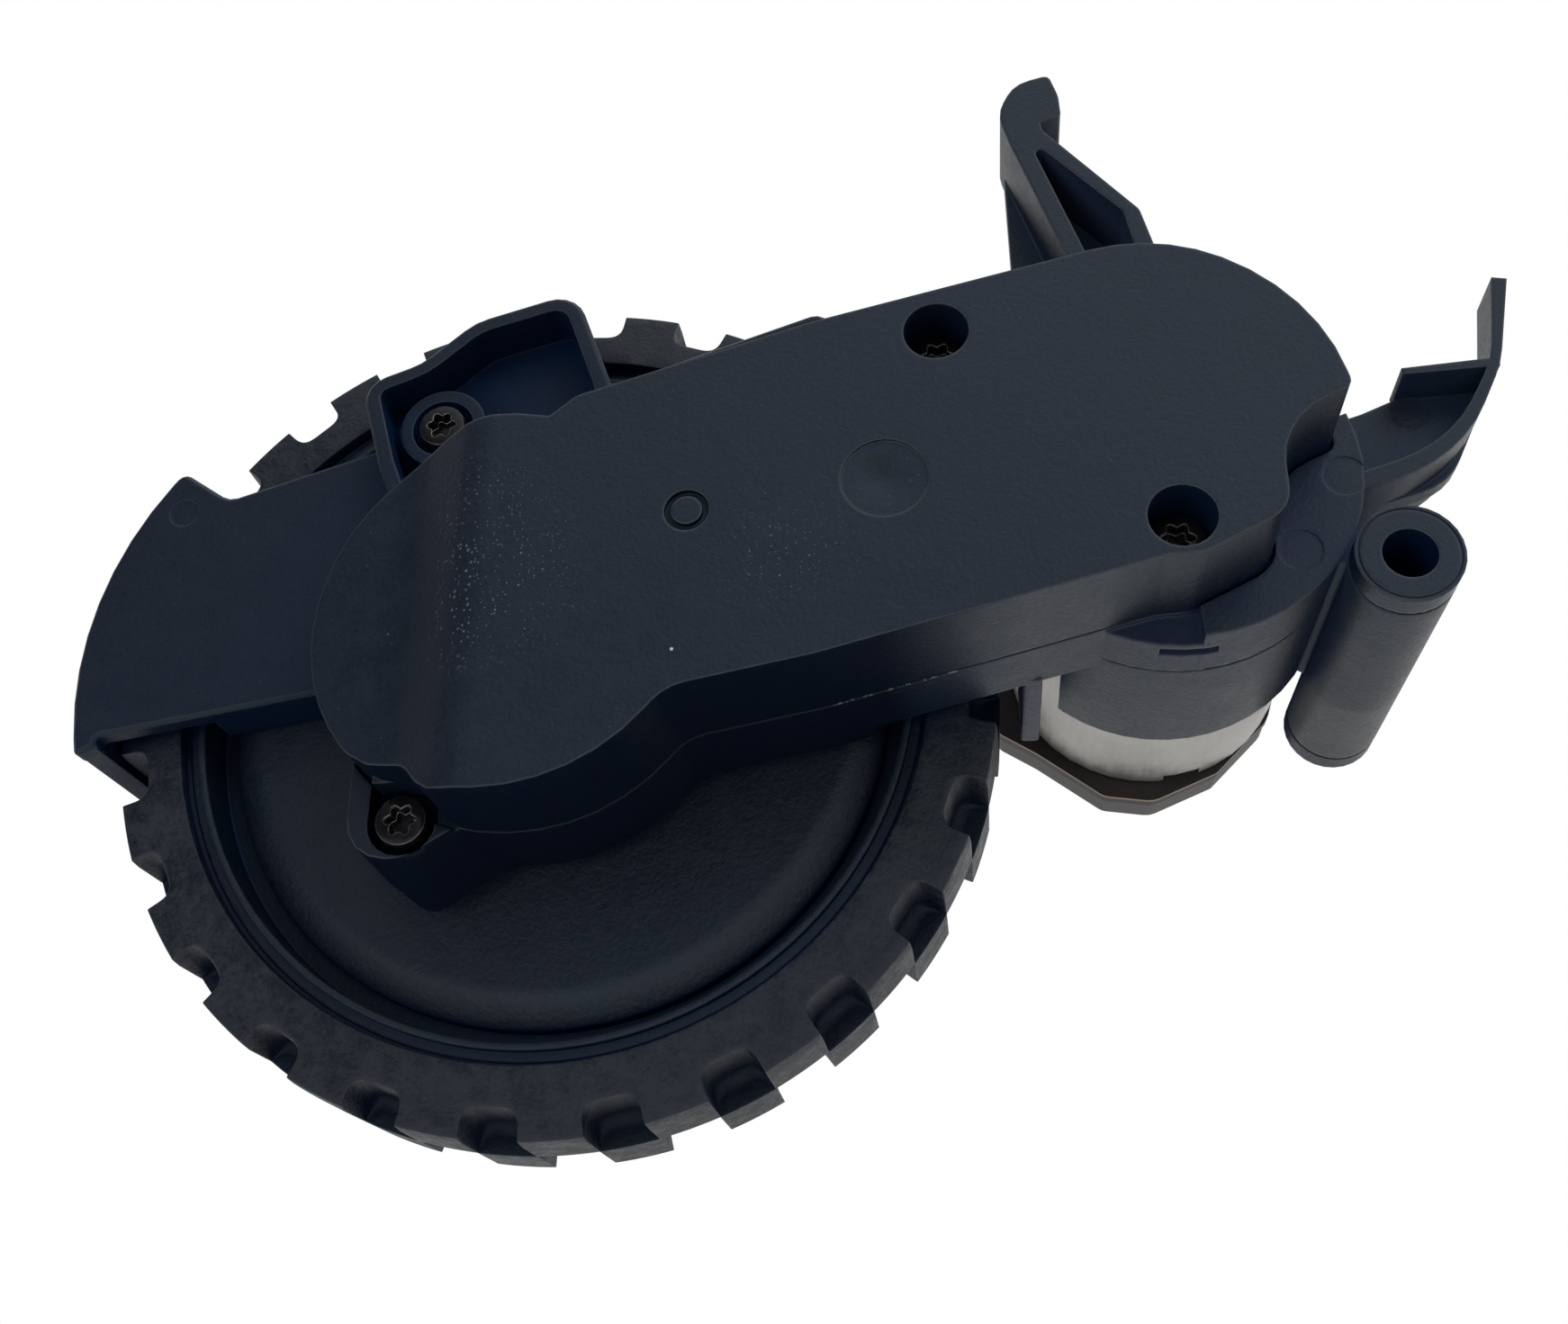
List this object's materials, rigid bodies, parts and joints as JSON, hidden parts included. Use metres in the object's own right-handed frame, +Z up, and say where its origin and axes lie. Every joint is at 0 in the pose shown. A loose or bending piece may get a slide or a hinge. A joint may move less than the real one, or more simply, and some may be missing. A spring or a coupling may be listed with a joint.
{
  "type": "robot vacuum wheel module",
  "caption": "Black drive wheel module of a robot vacuum: flat gearbox with motor, lugged rubber wheel, mudguard, pivot tube and two moulded arms.",
  "frame": {"origin": "axis of the pivot tube at its front end, on the gearbox cover's side", "axes": "+X along the gearbox from the wheel towards the motor, +Y along the wheel's axle from the gearbox cover towards the wheel and the motor, +Z up with the tyre's lowest point towards -Z"},
  "size_m": [0.1121, 0.0457, 0.0854],
  "materials": {
    "cover_plastic": "fine satin grain",
    "housing_plastic": "fine satin grain",
    "guard_plastic": "fine satin grain",
    "hub_plastic": "fine satin grain",
    "tyre_rubber": "matt",
    "screw_steel": "black zinc, glossy",
    "shaft_steel": "ground",
    "gear_plastic": "natural acetal",
    "bush_metal": "sintered bronze",
    "can_steel": "satin zinc",
    "board": "bare board edge",
    "cap_plastic": "satin",
    "pinion_brass": "machined",
    "magnet": "bonded ferrite",
    "bush_plastic": "satin"
  },
  "bodies": {
    "module": {"gearbox_cover": "cover_plastic", "gearbox_housing": "housing_plastic", "mudguard": "guard_plastic", "output_bush_front": "bush_metal", "output_bush_rear": "bush_metal", "gear_pin_1": "shaft_steel", "gear_pin_2": "shaft_steel", "gear_pin_3": "shaft_steel", "motor_can": "can_steel", "encoder_board": "board", "motor_end_cap": "cap_plastic", "cover_screw_1": "screw_steel", "cover_screw_2": "screw_steel", "cover_screw_3": "screw_steel", "mudguard_screw": "screw_steel", "motor_screw_1": "screw_steel", "motor_screw_2": "screw_steel", "pivot_bush_front": "bush_plastic", "pivot_bush_rear": "bush_plastic"},
    "wheel": {"tyre": "tyre_rubber", "wheel_hub": "hub_plastic", "wheel_screw": "screw_steel", "output_shaft": "shaft_steel", "output_gear": "gear_plastic"},
    "reduction_1": {"compound_gear_1": "gear_plastic"},
    "reduction_2": {"compound_gear_2": "gear_plastic"},
    "reduction_3": {"compound_gear_3": "gear_plastic"},
    "rotor": {"motor_shaft": "shaft_steel", "motor_pinion": "pinion_brass", "encoder_magnet": "magnet"}
  },
  "joints": [
    {"name": "wheel_spin", "type": "hinge", "parent": "module", "child": "wheel", "pos_m": [-0.0632, 0.0065, -0.0023], "axis": [0, 1, 0], "continuous": true},
    {"name": "reduction_1_spin", "type": "hinge", "parent": "module", "child": "reduction_1", "pos_m": [-0.0496, 0.0065, 0.0029], "axis": [0, 1, 0], "continuous": true},
    {"name": "reduction_2_spin", "type": "hinge", "parent": "module", "child": "reduction_2", "pos_m": [-0.0358, 0.0065, 0.0047], "axis": [0, 1, 0], "continuous": true},
    {"name": "reduction_3_spin", "type": "hinge", "parent": "module", "child": "reduction_3", "pos_m": [-0.0244, 0.0065, 0.0086], "axis": [0, 1, 0], "continuous": true},
    {"name": "rotor_spin", "type": "hinge", "parent": "module", "child": "rotor", "pos_m": [-0.0149, 0.0065, 0.0087], "axis": [0, 1, 0], "continuous": true}
  ],
  "couplings": [
    {"joint": "reduction_1_spin", "follows": "wheel_spin", "ratio": -2.6},
    {"joint": "reduction_2_spin", "follows": "wheel_spin", "ratio": 5.4},
    {"joint": "reduction_3_spin", "follows": "wheel_spin", "ratio": -14.236},
    {"joint": "rotor_spin", "follows": "wheel_spin", "ratio": 33.218}
  ]
}
